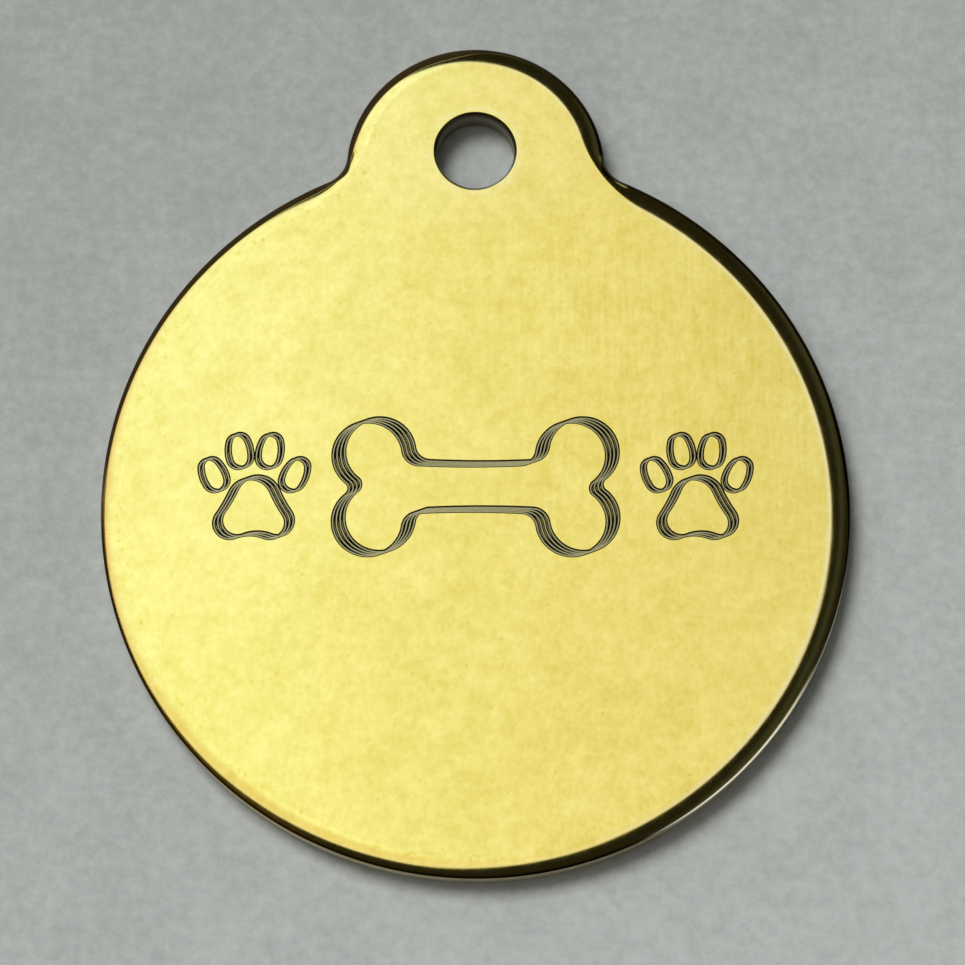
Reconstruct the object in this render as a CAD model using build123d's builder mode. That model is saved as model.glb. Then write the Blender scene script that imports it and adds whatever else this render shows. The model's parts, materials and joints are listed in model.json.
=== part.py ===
from build123d import *
import math
import os

# Pet identification tag: a round disc with a rounded hanging tab, stamped as one blank from brass sheet.
# Sizes are in millimetres. The tag lies on its back: the origin is the disc's centre on the flat back
# face, +Z points out of the front face and +Y runs through the tab.

# Outline of the blank
disc_diameter = 32.0
tab_radius = 5.65
tab_rise = 4.85  # how far the tab's top stands above the disc's edge
neck_radius = 1.4  # the two inside corners where the tab runs into the disc

# Hanging hole
hole_diameter = 3.4
hole_margin = 3.15  # metal left between the hole and the tab's top

# Sheet and its edges. The die rolls the front edge over, and below the roll the sheet is sheared straight.
sheet_thickness = 1.5
roll_radius = 1.35
roll_slope = 36.0  # how steep the rolled edge is, in degrees, where the sheared wall begins
roll_land = 0.01  # height of the straight strip left between the roll and the wall
back_edge_radius = 0.3  # this side is only deburred in the tumbler
hole_edge_radius = 0.15

# Places that follow from the sizes
tab_top = disc_diameter / 2 + tab_rise
tab_centre = tab_top - tab_radius
hole_centre = tab_top - hole_margin - hole_diameter / 2
roll_height = roll_radius * (1 - math.cos(math.radians(roll_slope))) + roll_land
wall_height = sheet_thickness - roll_height

with BuildPart() as tag_blank:
    # Disc and tab overlap. Each circle is turned so that it starts inside the other one,
    # and the two necks are then the only corners of the joined outline.
    with BuildSketch() as outline:
        with Locations(Location((0, 0, 0), (0, 0, 90))):
            Circle(disc_diameter / 2)
        with Locations(Location((0, tab_centre, 0), (0, 0, -90))):
            Circle(tab_radius)
        fillet(outline.vertices(), radius=neck_radius)
    extrude(amount=wall_height)

    # The rolled edge runs round the whole outline, in and out of the necks: the last of the sheet
    # leans inwards, and its upper corner is rounded nearly as far as the wall
    wall_top = tag_blank.faces().sort_by(Axis.Z)[-1]
    extrude(wall_top, amount=roll_height, taper=90 - roll_slope)
    front_rim = tag_blank.faces().sort_by(Axis.Z)[-1].outer_wire()
    fillet(front_rim.edges(), radius=roll_radius)

    back_rim = tag_blank.faces().sort_by(Axis.Z)[0].outer_wire()
    fillet(back_rim.edges(), radius=back_edge_radius)

    # Punched hole for a split ring, with both of its edges eased
    with Locations((0, hole_centre, sheet_thickness)):
        Hole(radius=hole_diameter / 2)
    hole_edges = tag_blank.edges(Select.LAST).filter_by(GeomType.CIRCLE)
    fillet(hole_edges, radius=hole_edge_radius)

tag_blank.part.label = "tag_blank"

os.makedirs("parts", exist_ok=True)
export_step(tag_blank.part, "parts/tag_blank.step")
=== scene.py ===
"""Looks of the pet identification tag: the polished, engraved brass blank on a plain floor."""
import json
import math

import bmesh
import bpy
from mathutils import Matrix, Vector


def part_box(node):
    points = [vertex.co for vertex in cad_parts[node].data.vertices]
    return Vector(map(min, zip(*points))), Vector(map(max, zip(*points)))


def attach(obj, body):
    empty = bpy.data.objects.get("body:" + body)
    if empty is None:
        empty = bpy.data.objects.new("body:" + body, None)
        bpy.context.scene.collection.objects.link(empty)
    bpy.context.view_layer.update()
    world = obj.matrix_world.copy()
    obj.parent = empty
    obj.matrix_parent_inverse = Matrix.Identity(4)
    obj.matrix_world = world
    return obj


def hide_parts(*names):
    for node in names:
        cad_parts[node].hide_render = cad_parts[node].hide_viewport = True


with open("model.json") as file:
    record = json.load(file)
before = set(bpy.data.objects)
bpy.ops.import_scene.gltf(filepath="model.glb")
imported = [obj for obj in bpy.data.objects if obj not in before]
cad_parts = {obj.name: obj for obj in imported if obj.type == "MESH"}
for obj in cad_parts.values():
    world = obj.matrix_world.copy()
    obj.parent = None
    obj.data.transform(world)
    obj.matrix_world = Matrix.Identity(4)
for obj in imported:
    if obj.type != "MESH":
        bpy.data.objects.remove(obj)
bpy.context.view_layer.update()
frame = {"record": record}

# Sizes of the tag, in millimetres. It is modelled in millimetres and scaled to metres when it is done.
MM_PER_M = 1000.0
tag_low, tag_high = (corner * MM_PER_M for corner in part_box("tag_blank"))
mounts = {mount["name"]: mount for mount in frame["record"]["mounts"]}
hang_hole = mounts["hang_hole"]
disc_radius = (tag_high.x - tag_low.x) / 2
tab_radius = 5.65
tab_centre = tag_high.y - tab_radius
neck_radius = 1.4
thickness = tag_high.z
hole_radius = hang_hole["dims"]["r_mm"]
hole_centre = hang_hole["pos_m"][1] * MM_PER_M
hole_edge_radius = 0.15
back_edge_radius = 0.3
punch_length = thickness * 3

# The rolled front edge: an arc that starts level with the face and ends this steep at the sheared wall.
# In the two necks the roll is narrower, because its inner line cuts the corner.
roll_radius = 1.49
roll_slope = math.radians(36)
edge_radius = 0.07  # the corner between the roll and the wall is worn round
edge_width = edge_radius * (1 - math.sin(roll_slope))
roll_width = edge_width + roll_radius * math.sin(roll_slope)
neck_ease = 4.0  # what the roll's inner line adds to the radius of the necks
tab_roll = 0.93  # the roll's width on the tab, as a share of its width on the disc

# How finely the blank is divided
disc_steps = 320
neck_steps = 28
tab_steps = 140
roll_steps = 14
edge_steps = 5
back_steps = 6
hole_sides = 128
hole_edge_steps = 6
near = 1e-4  # two heights closer than this are one
closing_gap = 2e-3  # the ends of a line this close are joined
smooth_angle = math.radians(30)  # a sharper edge than this stays an edge

# A face whose normal rises less than this belongs to a sheared wall. The hole's eased edges do too.
wall_rise = 0.25
hole_wall_rise = 0.97

# The engraver's cut: a flat-tipped cutter that follows each figure's outline several times side by side
cut_tip_width = 0.05
cut_wall_width = 0.057
cut_depth = 0.075
cut_depth_step = 0.001  # each further pass goes a little deeper
cut_lift = 0.05  # the cutter's height above the face
pass_spacing = 0.172
pass_direction = math.radians(20)
cut_sagitta = 0.0009  # how far the cutter's steps may leave the true arc

# The engraved figures: a bone between two paw prints
figure_height = 0.8  # the row's centre above the disc's centre
bone_lobe_radius = 1.5
bone_lobe_x = 4.35
bone_lobe_y = 1.45
bone_waist = 1.05  # half the shaft's width beside its ends
bone_corner_radius = 0.7
bone_shaft_radius = 45.0
bone_notch_radius = 0.35
bone_passes = 4
paw_x = 9.45
pad_foot_x = 0.85
pad_foot_y = -1.55
pad_foot_radius = 0.68
pad_top_y = -0.55
pad_top_radius = 0.95
pad_side_radius = 6.0
pad_hollow_radius = 1.6
pad_passes = 3
toe_half_length = 0.32
toe_root_radius = 0.46
toe_tip_radius = 0.4
toe_side_radius = 1.6
toe_passes = 2
toe_places = ((-1.75, 0.55, 24), (-0.66, 1.6, 8), (0.66, 1.6, -8), (1.75, 0.55, -24))  # x, y and lean

# Where the finish changes, in millimetres. Widths are measured inwards from the blank's outline.
# A pair of numbers says where a change begins and where it is complete.
neck_blend = 0.8  # how softly the disc's rim runs into the tab's
# A patchy darker line on the face near the rim, on the left side: its inset and how softly it fades
dark_rim_line_inset = 0.85
dark_rim_line_fade = (0.25, 0.1)
# Painted shade along the outer edge: the strip's width, what it gains on the upper half and how softly it
# ends
shaded_edge_strip = 0.1
upper_shaded_edge_strip = 0.07  # what the painted shade strip gains on the upper half
shaded_edge_blur = 0.03
# A painted highlight: the pale lip on the roll, where it starts and how it rises and falls
highlight_lip_line = 0.55
highlight_lip_gap = 0.03  # the painted highlight lip keeps this far from the painted shade strip
highlight_lip_rise = (-0.02, 0.05)
highlight_lip_fall = (0.24, 0.06)
highlight_ring_rise = (0.13, 0.2)  # the pale painted highlight ring, outwards from the hole
highlight_ring_fall = (0.5, 0.28)
# A painted highlight on the edge at the lower right: its heights and its reach
edge_highlight_heights = (1.275, 1.245)
edge_highlight_reach = (14, 15.5)  # from the disc's centre towards the lower right
hole_surround = (hole_radius + 1, hole_radius + 0.5)
hole_wall_heights = (0.9, 1.35)
hole_sides_fade = (-1.8, 0.3)  # from the hole's near side to its far side
cut_wall_shade_fade = (0.002, 0.008)  # the painted shade on the cut's walls, above the cut's floor
wave_height = 0.0000004  # of the face's faint waves, in metres

# The direction of the lower right, where a highlight is painted on the rim's edge and a low light stands
lower_right_x = 0.8
lower_right_y = -0.6

# Colours of the brass, as red, green, blue and alpha
deep_brass = (0.745, 0.62, 0.11, 1)
bright_brass = (0.985, 0.86, 0.285, 1)
# The pale colour of the painted highlights, which also makes the whole tab a touch paler
pale_highlight_brass = (0.96, 0.9, 0.62, 1)
# The pale colour of the painted highlight on the lower right edge
edge_highlight_brass = (0.96, 0.92, 0.7, 1)
# Painted shade on the outer edge: lighter at the lower left, deeper above and on the right, brown at the
# upper left
edge_shade_brass = (0.2, 0.14, 0.03, 1)
deep_edge_shade_brass = (0.055, 0.036, 0.012, 1)
brown_edge_shade = (0.025, 0.017, 0.005, 1)
sheared_dark = (0.5, 0.435, 0.27, 1)
sheared_light = (0.74, 0.65, 0.42, 1)
# Painted light on the hole's wall: a pale highlight on the near side, dark shade on the far side, a middle
# tone lower down
hole_near_highlight = (0.9, 0.85, 0.55, 1)
hole_far_shade = (0.07, 0.055, 0.02, 1)
hole_low_wall = (0.34, 0.31, 0.22, 1)
cut_floor_dark = (0.37, 0.335, 0.16, 1)
cut_floor_light = (0.58, 0.53, 0.27, 1)
# Painted shade on the cut's walls
cut_wall_shade = (0.045, 0.034, 0.005, 1)

# Floor
floor_size = 20  # in metres
floor_dark = (0.262, 0.275, 0.255, 1)
floor_light = (0.367, 0.383, 0.361, 1)


def select_only(piece):
    """Makes this object the only selected one, and the active one."""
    bpy.ops.object.select_all(action="DESELECT")
    piece.select_set(True)
    bpy.context.view_layer.objects.active = piece


def select_edges(piece, wanted):
    """In edit mode, selects the edges whose two ends both satisfy wanted(place)."""
    bpy.ops.mesh.select_mode(type="EDGE")
    bpy.ops.mesh.select_all(action="DESELECT")
    mesh = bmesh.from_edit_mesh(piece.data)
    for edge in mesh.edges:
        edge.select_set(all(wanted(vertex.co) for vertex in edge.verts))
    bmesh.update_edit_mesh(piece.data)


def apply_modifier(piece, kind, **settings):
    """Adds a modifier, sets it up and applies it."""
    select_only(piece)
    modifier = piece.modifiers.new(kind.lower(), kind)
    for name, value in settings.items():
        setattr(modifier, name, value)
    bpy.ops.object.modifier_apply(modifier=modifier.name)


def circle_at(x, y, radius):
    """A circle for an outline: its centre and its signed radius.

    The radius is positive where the outline turns left and negative where it turns right, so a hollow
    corner has a negative radius and its centre outside the outline."""
    return Vector((x, y)), radius


def joining_arc(first, second, radius):
    """The arc of this signed radius that runs smoothly from the first circle into the second."""
    reach_first = abs(radius - first[1])
    reach_second = abs(radius - second[1])
    across = second[0] - first[0]
    along = (reach_first ** 2 - reach_second ** 2 + across.length_squared) / (2 * across.length)
    aside = math.sqrt(reach_first ** 2 - along ** 2)
    ahead = across.normalized()
    left = Vector((-ahead.y, ahead.x))
    return first[0] + ahead * along + left * math.copysign(aside, radius), radius


def outline(*circles_and_joints):
    """A closed chain of arcs: circles, each followed by the radius of the arc that joins it to the next."""
    circles = circles_and_joints[0::2]
    joints = circles_and_joints[1::2]
    chain = []
    for place, circle in enumerate(circles):
        chain.append(circle)
        chain.append(joining_arc(circle, circles[(place + 1) % len(circles)], joints[place]))
    return chain


def touching_point(first, second):
    """Where two arcs of a chain run into each other."""
    return first[0] - (first[0] - second[0]) * (first[1] / (first[1] - second[1]))


def arc_turns(chain):
    """The angle that each arc of a closed chain turns through, positive to the left."""
    turns = []
    for place, (centre, radius) in enumerate(chain):
        start = touching_point(chain[place - 1], chain[place]) - centre
        end = touching_point(chain[place], chain[(place + 1) % len(chain)]) - centre
        turn = math.atan2(end.y, end.x) - math.atan2(start.y, start.x)
        turns.append(math.copysign(turn * math.copysign(1, radius) % math.tau, radius))
    return turns


def spin_along(chain, steps):
    """Spins what is selected once round a closed chain of arcs, with so many steps on each arc."""
    for (centre, _), turn, count in zip(chain, arc_turns(chain), steps):
        bpy.ops.mesh.spin(
            steps=count,
            angle=-turn,
            center=(centre.x, centre.y, 0),
            axis=(0, 0, 1),
            use_auto_merge=False,
        )
    bpy.ops.mesh.select_all(action="SELECT")
    bpy.ops.mesh.remove_doubles(threshold=closing_gap)


def rim_levels():
    """From the back face to the front face: how far the outline is inset, its height and its neck radius."""
    levels = []
    for step in range(back_steps + 1):
        angle = math.pi / 2 * step / back_steps
        inset = back_edge_radius * (1 - math.sin(angle))
        levels.append((inset, back_edge_radius * (1 - math.cos(angle)), neck_radius + inset))
    roll_end = thickness - roll_radius * (1 - math.cos(roll_slope))
    for step in range(edge_steps, 0, -1):
        angle = roll_slope + (math.pi / 2 - roll_slope) * step / edge_steps
        inset = edge_radius * (1 - math.sin(angle))
        height = roll_end - edge_radius * (math.cos(roll_slope) - math.cos(angle))
        levels.append((inset, height, neck_radius + inset))
    for step in range(roll_steps, -1, -1):
        angle = roll_slope * step / roll_steps
        inset = roll_width - roll_radius * math.sin(angle)
        height = thickness - roll_radius * (1 - math.cos(angle))
        levels.append((inset, height, neck_radius + inset + neck_ease * inset / roll_width))
    return levels


def rim_line(inset, height, neck):
    """One closed line round the blank, as an object of its own."""
    disc = circle_at(0, 0, disc_radius - inset)
    tab = circle_at(0, tab_centre, tab_radius - inset * tab_roll)
    chain = outline(disc, -neck, tab, -neck)
    start = touching_point(chain[-1], chain[0])
    bpy.ops.object.select_all(action="DESELECT")
    bpy.ops.mesh.primitive_plane_add(size=closing_gap)
    line = bpy.context.object
    bpy.ops.object.mode_set(mode="EDIT")
    bpy.ops.mesh.select_mode(type="VERT")
    bpy.ops.mesh.select_all(action="SELECT")
    bpy.ops.mesh.merge(type="CENTER")
    bpy.ops.transform.translate(value=(start.x, start.y, height))
    spin_along(chain, (disc_steps, neck_steps, tab_steps, neck_steps))
    bpy.ops.object.mode_set(mode="OBJECT")
    return line


def stamped_blank():
    """Disc and tab as one plate with a rolled front edge, an eased back edge and a punched hole."""
    levels = rim_levels()
    lines = [rim_line(*level) for level in levels]
    blank = lines[0]
    blank.name = "engraved_tag"
    select_only(blank)
    for line in lines:
        line.select_set(True)
    bpy.ops.object.join()

    bpy.ops.object.mode_set(mode="EDIT")
    heights = [height for _, height, _ in levels]
    for pair in zip(heights, heights[1:]):
        select_edges(blank, lambda place: min(abs(place.z - height) for height in pair) < near)
        bpy.ops.mesh.bridge_edge_loops()
    bpy.ops.mesh.select_all(action="SELECT")
    bpy.ops.mesh.fill_holes(sides=0)
    bpy.ops.mesh.normals_make_consistent(inside=False)
    bpy.ops.object.mode_set(mode="OBJECT")

    punch_hole(blank)
    return blank


def on_hole_edge(place, face_height):
    """Whether a place lies on the sharp edge of the hole in the face at this height."""
    off_axis = math.hypot(place.x, place.y - hole_centre)
    return abs(place.z - face_height) < near and off_axis < hole_radius + near


def punch_hole(blank):
    """Cuts the ring hole through the tab and rounds both of its edges."""
    bpy.ops.object.select_all(action="DESELECT")
    bpy.ops.mesh.primitive_cylinder_add(
        vertices=hole_sides,
        radius=hole_radius,
        depth=punch_length,
        location=(0, hole_centre, thickness / 2),
    )
    punch = bpy.context.object
    apply_modifier(blank, "BOOLEAN", object=punch, operation="DIFFERENCE", solver="EXACT")
    bpy.data.objects.remove(punch)

    bpy.ops.object.mode_set(mode="EDIT")
    for face_height in (0, thickness):
        select_edges(blank, lambda place: on_hole_edge(place, face_height))
        bpy.ops.mesh.bevel(
            offset=hole_edge_radius,
            segments=hole_edge_steps,
            profile=0.5,
            clamp_overlap=False,
        )
    bpy.ops.object.mode_set(mode="OBJECT")


def bone_outline():
    """Four round ends, a nearly straight shaft between them and a notch at each end."""
    corner_y = bone_waist + bone_corner_radius
    corner_reach = bone_lobe_radius + bone_corner_radius
    corner_x = bone_lobe_x - math.sqrt(corner_reach ** 2 - (corner_y - bone_lobe_y) ** 2)
    lobes = [
        circle_at(side_x * bone_lobe_x, side_y * bone_lobe_y, bone_lobe_radius)
        for side_x, side_y in ((1, -1), (1, 1), (-1, 1), (-1, -1))
    ]
    corners = [
        circle_at(side_x * corner_x, side_y * corner_y, -bone_corner_radius)
        for side_x, side_y in ((1, 1), (-1, 1), (-1, -1), (1, -1))
    ]
    notch_right = joining_arc(lobes[0], lobes[1], -bone_notch_radius)
    shaft_top = joining_arc(corners[0], corners[1], -bone_shaft_radius)
    notch_left = joining_arc(lobes[2], lobes[3], -bone_notch_radius)
    shaft_bottom = joining_arc(corners[2], corners[3], -bone_shaft_radius)
    return [
        lobes[0], notch_right, lobes[1], corners[0], shaft_top, corners[1],
        lobes[2], notch_left, lobes[3], corners[2], shaft_bottom, corners[3],
    ]


def pad_outline():
    """The main pad of a paw: a broad foot of two lobes and a rounded top."""
    foot_right = circle_at(pad_foot_x, pad_foot_y, pad_foot_radius)
    top = circle_at(0, pad_top_y, pad_top_radius)
    foot_left = circle_at(-pad_foot_x, pad_foot_y, pad_foot_radius)
    return outline(foot_right, -pad_side_radius, top, -pad_side_radius, foot_left, -pad_hollow_radius)


def toe_outline(x, y, lean):
    """An egg-shaped toe, leaning over by an angle in degrees, with its middle at x, y."""
    half_length = Matrix.Rotation(math.radians(lean), 2) @ Vector((0, toe_half_length))
    middle = Vector((x, y))
    root = (middle - half_length, toe_root_radius)
    tip = (middle + half_length, toe_tip_radius)
    return outline(root, toe_side_radius, tip, toe_side_radius)


def moved(chain, shift):
    """The same chain of arcs in another place."""
    return [(centre + shift, radius) for centre, radius in chain]


def figures():
    """Each engraved outline with the number of passes it is cut in."""
    rows = [(moved(bone_outline(), Vector((0, figure_height))), bone_passes)]
    for side in (-1, 1):
        middle = Vector((side * paw_x, figure_height))
        rows.append((moved(pad_outline(), middle), pad_passes))
        for x, y, lean in toe_places:
            rows.append((moved(toe_outline(x, y, lean), middle), toe_passes))
    return rows


def groove_cutter(chain, depth):
    """A closed tube with the cutter's section: a flat tip and two leaning sides."""
    start = touching_point(chain[-1], chain[0])
    outwards = (start - chain[0][0]).normalized()
    half_tip = cut_tip_width / 2
    half_top = half_tip + cut_wall_width * (depth + cut_lift) / depth
    section = [
        (start - outwards * half_tip, thickness - depth),
        (start + outwards * half_tip, thickness - depth),
        (start - outwards * half_top, thickness + cut_lift),
        (start + outwards * half_top, thickness + cut_lift),
    ]
    bpy.ops.object.select_all(action="DESELECT")
    bpy.ops.mesh.primitive_plane_add(size=1, location=(0, 0, 0))
    cutter = bpy.context.object
    for vertex, (plan, height) in zip(cutter.data.vertices, section):
        vertex.co = (plan.x, plan.y, height)
    bpy.ops.object.mode_set(mode="EDIT")
    bpy.ops.mesh.select_all(action="SELECT")
    bpy.ops.mesh.delete(type="ONLY_FACE")
    bpy.ops.mesh.select_all(action="SELECT")
    steps = [
        math.ceil(abs(turn) / (2 * math.sqrt(2 * cut_sagitta / abs(radius))))
        for (_, radius), turn in zip(chain, arc_turns(chain))
    ]
    spin_along(chain, steps)
    bpy.ops.mesh.normals_make_consistent(inside=False)
    bpy.ops.object.mode_set(mode="OBJECT")
    return cutter


def engrave(blank, cut_material):
    """Cuts every pass of every figure into the front face."""
    rows = figures()
    sideways = Vector((math.cos(pass_direction), math.sin(pass_direction))) * pass_spacing
    for number in range(max(passes for _, passes in rows)):
        depth = cut_depth + number * cut_depth_step
        cutters = [
            groove_cutter(moved(chain, sideways * (number - (passes - 1) / 2)), depth)
            for chain, passes in rows
            if number < passes
        ]
        select_only(cutters[0])
        for cutter in cutters:
            cutter.select_set(True)
        bpy.ops.object.join()
        joined = bpy.context.object
        joined.data.materials.append(cut_material)
        apply_modifier(
            blank, "BOOLEAN",
            object=joined, operation="DIFFERENCE", solver="EXACT", material_mode="TRANSFER",
        )
        bpy.data.objects.remove(joined)


def dress_walls(blank, wall_material):
    """Gives the sheared outer wall and the hole's wall their own material."""
    blank.data.materials.append(wall_material)
    blank.active_material_index = len(blank.data.materials) - 1
    select_only(blank)
    bpy.ops.object.mode_set(mode="EDIT")
    bpy.ops.mesh.select_mode(type="FACE")
    bpy.ops.mesh.select_all(action="DESELECT")
    mesh = bmesh.from_edit_mesh(blank.data)
    for face in mesh.faces:
        middle = face.calc_center_median()
        at_hole = math.hypot(middle.x, middle.y - hole_centre) < hole_radius + hole_edge_radius
        face.select_set(abs(face.normal.z) < (hole_wall_rise if at_hole else wall_rise))
    bmesh.update_edit_mesh(blank.data)
    bpy.ops.object.material_slot_assign()
    bpy.ops.object.mode_set(mode="OBJECT")


class Wire:
    """An output of a shader node. Operators add Math nodes, and node() adds a node of any other type."""

    def __init__(self, tree, socket=None):
        self.tree = tree
        self.socket = socket

    def node(self, kind, inputs, output=0, **settings):
        """Adds a node to this tree: its settings first, then the values or wires of its sockets."""
        added = self.tree.nodes.new(kind)
        for name, value in settings.items():
            setattr(added, name, value)
        for name, value in inputs.items():
            if isinstance(value, Wire):
                self.tree.links.new(value.socket, added.inputs[name])
            else:
                added.inputs[name].default_value = value
        return Wire(self.tree, added.outputs[output] if added.outputs else None)

    def maths(self, operation, *others):
        """Adds a Math node with this wire first."""
        return self.node("ShaderNodeMath", dict(enumerate((self, *others))), operation=operation)

    def __add__(self, other):
        return self.maths("ADD", other)

    def __radd__(self, other):
        return self.maths("ADD", other)

    def __sub__(self, other):
        return self.maths("SUBTRACT", other)

    def __rsub__(self, other):
        return self.node("ShaderNodeMath", {0: other, 1: self}, operation="SUBTRACT")

    def __mul__(self, other):
        return self.maths("MULTIPLY", other)

    def __rmul__(self, other):
        return self.maths("MULTIPLY", other)

    def __truediv__(self, other):
        return self.maths("DIVIDE", other)

    def __pow__(self, other):
        return self.maths("POWER", other)

    def between(self, low, high):
        """0 at low and 1 at high, with a soft step between them. Low may be the larger of the two."""
        return self.node("ShaderNodeMapRange", {0: self, 1: low, 2: high}, interpolation_type="SMOOTHSTEP")

    def blend(self, first, second):
        """This wire as the share of the second colour in a mix of two."""
        return self.node("ShaderNodeMix", {0: self, 6: first, 7: second}, output=2, data_type="RGBA")

    def split(self):
        """The x, y and z of a vector."""
        return [self.node("ShaderNodeSeparateXYZ", {0: self}, output=axis) for axis in range(3)]

    def scaled(self, x, y, z):
        """A vector with its x, y and z each multiplied."""
        return self.node("ShaderNodeVectorMath", {0: self, 1: (x, y, z)}, operation="MULTIPLY")

    def noise(self, scale, detail=2.0, roughness=0.5):
        """Cloudy noise around 0 at these coordinates, from about -1 to 1."""
        cloud = self.node(
            "ShaderNodeTexNoise",
            {"Vector": self, "Scale": scale, "Detail": detail, "Roughness": roughness},
        )
        return (cloud - 0.5) * 4


def new_material(name):
    """An empty material and the start of its wires: the place on the piece, in millimetres."""
    material = bpy.data.materials.new(name)
    material.use_nodes = True
    material.node_tree.nodes.clear()
    start = Wire(material.node_tree)
    place = start.node("ShaderNodeTexCoord", {}, output="Object")
    return material, place.scaled(MM_PER_M, MM_PER_M, MM_PER_M)


def finish_material(wire, **sockets):
    """The shader itself. Socket names are written with _ for a space."""
    inputs = {name.replace("_", " "): value for name, value in sockets.items()}
    shader = wire.node("ShaderNodeBsdfPrincipled", inputs)
    wire.node("ShaderNodeOutputMaterial", {"Surface": shader})


def from_axis(x, y, centre_y):
    """How far a place is from an upright axis at x = 0."""
    return (x * x + (y - centre_y) ** 2).maths("SQRT")


def brass_tone(place, x, y, mottling, rim_darkening):
    """How light the brass is: faint blotches, grain and dark specks, brush marks on the right and a patchy
    darker line near the rim on the left.
    """
    blotches = place.noise(0.45, detail=2)
    grain = place.scaled(1, 0.7, 1).noise(4.5, detail=2)
    brushing = place.scaled(5.5, 0.45, 1).noise(1, detail=3)
    brushed_side = x.between(-4, 6) * y.between(-6, 3) * y.between(14, 10)
    specks = place.scaled(1, 0.7, 1).noise(4, detail=1).between(0.75, 1.15)
    tone = 0.5 + 0.14 * blotches + 0.24 * mottling + 0.15 * grain + 0.16 * brushing * brushed_side
    return tone - 0.35 * specks - 0.5 * rim_darkening


def polished_brass():
    """Bright brass with painted shade along its outer edge, a pale painted highlight lip on the roll and a
    pale painted highlight ring round the hole.
    """
    material, place = new_material("polished_brass")
    x, y, z = place.split()
    from_disc_rim = disc_radius - from_axis(x, y, 0)
    from_tab_rim = tab_radius - from_axis(x, y, tab_centre)
    from_rim = from_disc_rim.maths("SMOOTH_MAX", from_tab_rim, neck_blend)
    from_hole = from_axis(x, y, hole_centre) - hole_radius

    # Which way the nearest rim faces, seen from the middle of the disc or of the tab
    past_neck = from_tab_rim - from_disc_rim
    beside_neck = past_neck.maths("ABSOLUTE")
    on_tab = past_neck.between(-2, 1)
    along = y - tab_centre * on_tab
    middle = (x * x + along * along).maths("SQRT")
    rightness = x / middle
    upness = along / middle

    mottling = place.noise(1.5, detail=3, roughness=0.6)
    # A patchy darker line where the roll meets the face, on the left side
    rim_darkening = (from_rim - dark_rim_line_inset).maths("ABSOLUTE").between(*dark_rim_line_fade) * rightness.between(0.4, -0.2)
    rim_darkening = rim_darkening * place.noise(3.5, detail=2).between(0.35, 0.9)
    colour = brass_tone(place, x, y, mottling, rim_darkening).blend(deep_brass, bright_brass)

    # Painted shade along the outer edge: deepest above and on the right, lighter at the lower left, and
    # brown and less metallic at the upper left
    brown_shade_side = rightness.between(0.2, -0.25) * upness.between(-0.1, 0.15)
    shaded_edge_width = shaded_edge_strip + upper_shaded_edge_strip * upness.between(-0.1, 0.15)
    shaded_edge_width = shaded_edge_width + brown_shade_side * (0.22 * upness + 0.08 * on_tab - 0.02) * beside_neck.between(0, 2)
    shaded_edge = (from_rim - shaded_edge_width).between(shaded_edge_blur, -shaded_edge_blur)
    deeper_shade_side = upness.between(0.0, 0.3).maths("MAXIMUM", rightness.between(-0.2, 0.2))
    edge_shade_colour = deeper_shade_side.blend(edge_shade_brass, deep_edge_shade_brass)
    edge_shade_colour = brown_shade_side.blend(edge_shade_colour, brown_edge_shade)

    # A painted highlight: the pale lip runs where the roll turns dark, far in on the right, close to the
    # wall on the left
    on_right = rightness.maths("MAXIMUM", 0.0)
    highlight_lip_start = highlight_lip_line + 0.33 * rightness + 0.13 * upness - 0.05 * rightness ** 2 + 0.02 * mottling
    highlight_lip_start = highlight_lip_start - 0.2 * on_tab * on_right ** 2
    inside_highlight_lip = from_rim - highlight_lip_start.maths("MAXIMUM", shaded_edge_width + highlight_lip_gap)
    highlight_lip_strength = (0.2 + 0.3 * rightness).maths("MAXIMUM", 0.12) * beside_neck.between(0.3, 3)
    highlight_lip = inside_highlight_lip.between(*highlight_lip_rise) * inside_highlight_lip.between(*highlight_lip_fall) * highlight_lip_strength

    # A painted highlight: a pale ring round the hole; with the lip it is mixed in pale, and the whole tab a
    # touch paler
    ring = from_hole.between(*highlight_ring_rise) * (from_hole + 0.06 * mottling).between(*highlight_ring_fall)
    ring = ring * (0.22 + 0.2 * mottling)
    pale = highlight_lip.maths("MAXIMUM", ring).maths("MAXIMUM", 0.06 * on_tab)
    colour = pale.blend(colour, pale_highlight_brass)
    colour = shaded_edge.blend(colour, edge_shade_colour)

    # A painted highlight: the edge at the lower right is painted pale, as the low light's reflection on it
    towards_lower_right = lower_right_x * x + lower_right_y * y
    edge_highlight = z.between(*edge_highlight_heights) * towards_lower_right.between(*edge_highlight_reach)
    colour = edge_highlight.blend(colour, edge_highlight_brass)

    # The face is very slightly wavy
    waves = place.noise(0.35, detail=1) + 0.1 * place.noise(2.2, detail=2)
    bump = place.node("ShaderNodeBump", {"Height": waves, "Distance": wave_height, "Strength": 1.0})
    # The brown painted shade at the upper left edge is also less metallic
    finish_material(
        place,
        Base_Color=colour,
        Metallic=1 - 0.9 * shaded_edge * brown_shade_side,
        Specular_IOR_Level=0.1,
        Roughness=0.125 + 0.02 * mottling,
        Normal=bump,
    )
    return material


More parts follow.
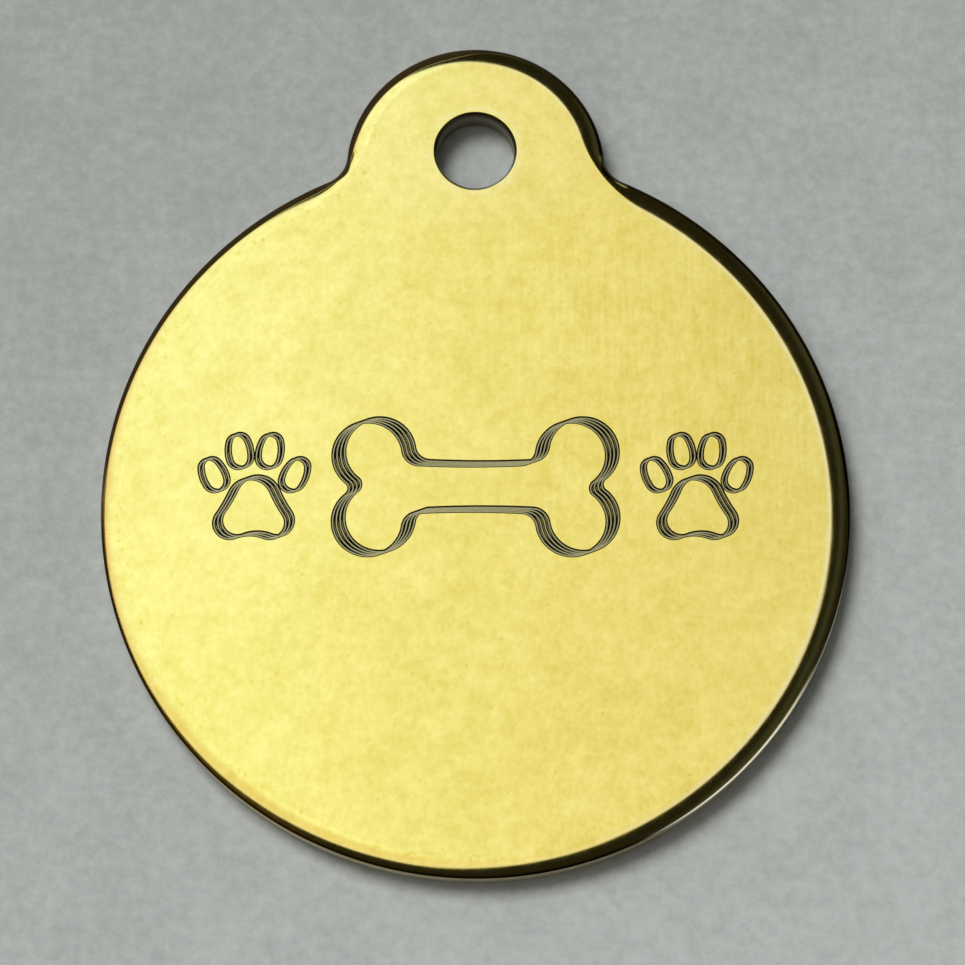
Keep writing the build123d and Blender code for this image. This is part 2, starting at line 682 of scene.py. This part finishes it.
def sheared_edge():
    """The die's cut: duller brass with fine upright marks; in the hole, painted shade on the far side and a
    painted highlight on the near side.
    """
    material, place = new_material("sheared_edge")
    x, y, z = place.split()
    marks = place.scaled(6, 6, 0.4).noise(1, detail=3)
    grime = place.noise(0.8, detail=3)
    colour = (0.5 + 0.2 * marks + 0.15 * grime).blend(sheared_dark, sheared_light)
    # The hole's upper wall is painted: a pale highlight on the near side, dark shade on the far side
    in_hole = from_axis(x, y, hole_centre).between(*hole_surround)
    far_side = (y - hole_centre).between(*hole_sides_fade)
    hole_light_and_shade = far_side.blend(hole_near_highlight, hole_far_shade)
    hole_light_and_shade = z.between(*hole_wall_heights).blend(hole_low_wall, hole_light_and_shade)
    colour = in_hole.blend(colour, hole_light_and_shade)
    finish_material(place, Base_Color=colour, Metallic=1.0, Roughness=0.42 + 0.05 * marks)
    return material


def engraved_cut():
    """The cutter's track: a pale scraped floor between walls painted near black as shade."""
    material, place = new_material("engraved_cut")
    height = place.split()[2]
    scrape = place.noise(9, detail=2)
    # The cut's walls are painted near black as shade
    wall = height.between(*(thickness - cut_depth + rise for rise in cut_wall_shade_fade))
    floor_colour = (0.5 + 0.3 * scrape).blend(cut_floor_dark, cut_floor_light)
    colour = wall.blend(floor_colour, cut_wall_shade)
    finish_material(place, Base_Color=colour, Metallic=1.0, Roughness=0.38 + 0.05 * scrape)
    return material


def pale_floor():
    """A plain matt grey sheet with a very faint mottle, painted lighter towards the front and the right as a
    light falloff.
    """
    material, place = new_material("pale_floor")
    x, y, _ = place.split()
    mottle = 0.4 * place.noise(0.3, detail=2) + place.noise(1.7, detail=4, roughness=0.7)
    # The mottle is the sheet's own; the slope towards the front and the right is painted light
    tone = 0.5 + 0.44 * mottle - 0.012 * y + 0.005 * x
    colour = tone.blend(floor_dark, floor_light)
    finish_material(place, Base_Color=colour, Roughness=0.9)
    return material


tag = stamped_blank()
tag.data.materials.append(polished_brass())
dress_walls(tag, sheared_edge())
engrave(tag, engraved_cut())
tag.scale = (1 / MM_PER_M,) * 3
select_only(tag)
bpy.ops.object.transform_apply(location=False, rotation=False, scale=True)
bpy.ops.object.shade_smooth_by_angle(angle=smooth_angle)
apply_modifier(tag, "WEIGHTED_NORMAL", keep_sharp=True)

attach(tag, "root")
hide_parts("tag_blank")

bpy.ops.mesh.primitive_plane_add(size=floor_size)
floor = bpy.context.object
floor.name = "floor"
floor.data.materials.append(pale_floor())

# Camera: nearly straight above, moved towards the tag's lower edge. The shifts are pixels of the photograph.
camera_distance = 0.15
camera_tilt = math.radians(14.43)
camera_lens = 130.06
sensor_width = 36
photo_width = 965
shift_right = 6.9
shift_up = 30.8
camera_data = bpy.data.cameras.new("camera")
camera = bpy.data.objects.new("camera", camera_data)
bpy.context.scene.collection.objects.link(camera)
bpy.context.scene.camera = camera
camera.location = (0, -camera_distance * math.sin(camera_tilt), camera_distance * math.cos(camera_tilt))
camera.rotation_euler = (camera_tilt, 0, 0)
camera_data.lens = camera_lens
camera_data.sensor_width = sensor_width
camera_data.shift_x = shift_right / photo_width
camera_data.shift_y = shift_up / photo_width

# The studio: one large light overhead to the left, as a flat sheet one unit above the tag.
# Each side of the sheet is an outward direction in its plane and how far the side lies that way.
# The first two sides meet in a hollow corner.
light_sides = (
    (0.936, 0.353, 0.258),
    (0.632, 0.775, 0.35),
    (1.0, 0.0, 0.36),
    (0.95, -0.314, 0.33),
    (0.716, -0.698, 0.42),
    (0.0, -1.0, 0.70),
    (-0.389, -0.921, 1.08),
    (-0.799, -0.601, 1.67),
    (-1.0, 0.0, 2.1),
    (-0.478, 0.878, 2.6),
    (0.0, 1.0, 1.95),
    (0.768, 0.64, 0.48),
)
light_map_width = 1024
lowest_up = 0.03  # keeps the sheet's plane finite towards the horizon

# Colours of the light sheet, of the room round it and of the horizon
sheet_left = (1.16, 1.26, 1.32, 1)
sheet_back_left = (1.15, 1.28, 1.62, 1)
sheet_middle = (0.973, 0.952, 0.912, 1)
sheet_right = (0.9, 0.87, 0.93, 1)
sheet_far_left = (1.12, 1.22, 1.42, 1)
sheet_outer_left = (1.0, 0.84, 0.82, 1)
sheet_front = (1.0, 0.93, 0.8, 1)
dim_room = (0.015, 0.014, 0.012, 1)
warm_room = (0.065, 0.042, 0.008, 1)
room_glimmer = (0.04, 0.043, 0.05, 1)
low_light_colour = (0.85, 0.85, 0.85, 1)
horizon_front = (0.12, 0.124, 0.12, 1)
horizon_behind = (0.332, 0.342, 0.328, 1)


def light_sheet(sheet_x, sheet_y):
    """Where the overhead sheet is lit, and its colour from side to side and from back to front."""
    within = [reach - (sheet_x * side_x + sheet_y * side_y) for side_x, side_y, reach in light_sides]
    inside = within[0].maths("MAXIMUM", within[1])
    for side in within[2:]:
        inside = inside.maths("MINIMUM", side)
    lit = inside.between(-0.02, 0.05)

    across = sheet_x - 0.01 * sheet_y.between(0.345, 0.39)
    colour = sheet_y.between(0.15, 0.33).blend(sheet_left, sheet_back_left)
    tints = (
        (across, -0.1, 0.03, sheet_middle),
        (across, 0.0, 0.2, sheet_right),
        (sheet_x, -0.15, -0.4, sheet_far_left),
        (sheet_x, -0.7, -1.7, sheet_outer_left),
        (sheet_y, 0.05, -0.25, sheet_front),
    )
    for direction, begins, full, tint in tints:
        colour = direction.between(begins, full).blend(colour, tint)
    return lit, colour


def studio_light():
    """Fills the world with the overhead light, a dim room, a low light in front and a pale horizon."""
    world = bpy.data.worlds.new("studio")
    bpy.context.scene.world = world
    world.cycles.sampling_method = "MANUAL"
    world.cycles.sample_map_resolution = light_map_width
    world.use_nodes = True
    world.node_tree.nodes.clear()
    start = Wire(world.node_tree)
    towards = start.node("ShaderNodeTexCoord", {}, output="Generated")
    right, back, up = towards.split()
    above = up.maths("MAXIMUM", lowest_up)
    lit, sheet = light_sheet(right / above, back / above)

    room = right.between(-0.3, -0.8).blend(dim_room, warm_room)
    glimmer = right.between(0.5, 0.7) * right.between(0.88, 0.74)
    room = glimmer.blend(room, room_glimmer)
    light = lit.blend(room, sheet)

    facing = (lower_right_x * right + lower_right_y * back) / (1 - up * up).maths("SQRT")
    low_light = facing.between(0.9, 0.985) * up.between(0.06, 0.12) * up.between(0.47, 0.41)
    light = low_light.blend(light, low_light_colour)
    behind = back.maths("MAXIMUM", 0 - right).between(-0.1, 0.4)
    horizon = behind.blend(horizon_front, horizon_behind)
    light = up.between(0.12, 0.105).blend(light, horizon)
    background = start.node("ShaderNodeBackground", {"Color": light})
    start.node("ShaderNodeOutputWorld", {"Surface": background})


studio_light()

# A broad lamp from the same side brightens the floor and deepens the shadow on it
lamp_direction = Vector((-0.32, 0.38, 0.79))
lamp_spread = math.radians(28)
lamp_strength = 2.95
bpy.ops.object.light_add(type="SUN", location=lamp_direction)
floor_lamp = bpy.context.object
floor_lamp.name = "floor_lamp"
floor_lamp.rotation_euler = lamp_direction.to_track_quat("Z", "Y").to_euler()
floor_lamp.data.angle = lamp_spread
floor_lamp.data.energy = lamp_strength
floor_lamp.visible_camera = False
floor_lamp.visible_glossy = False

bpy.context.scene.view_settings.view_transform = "Standard"
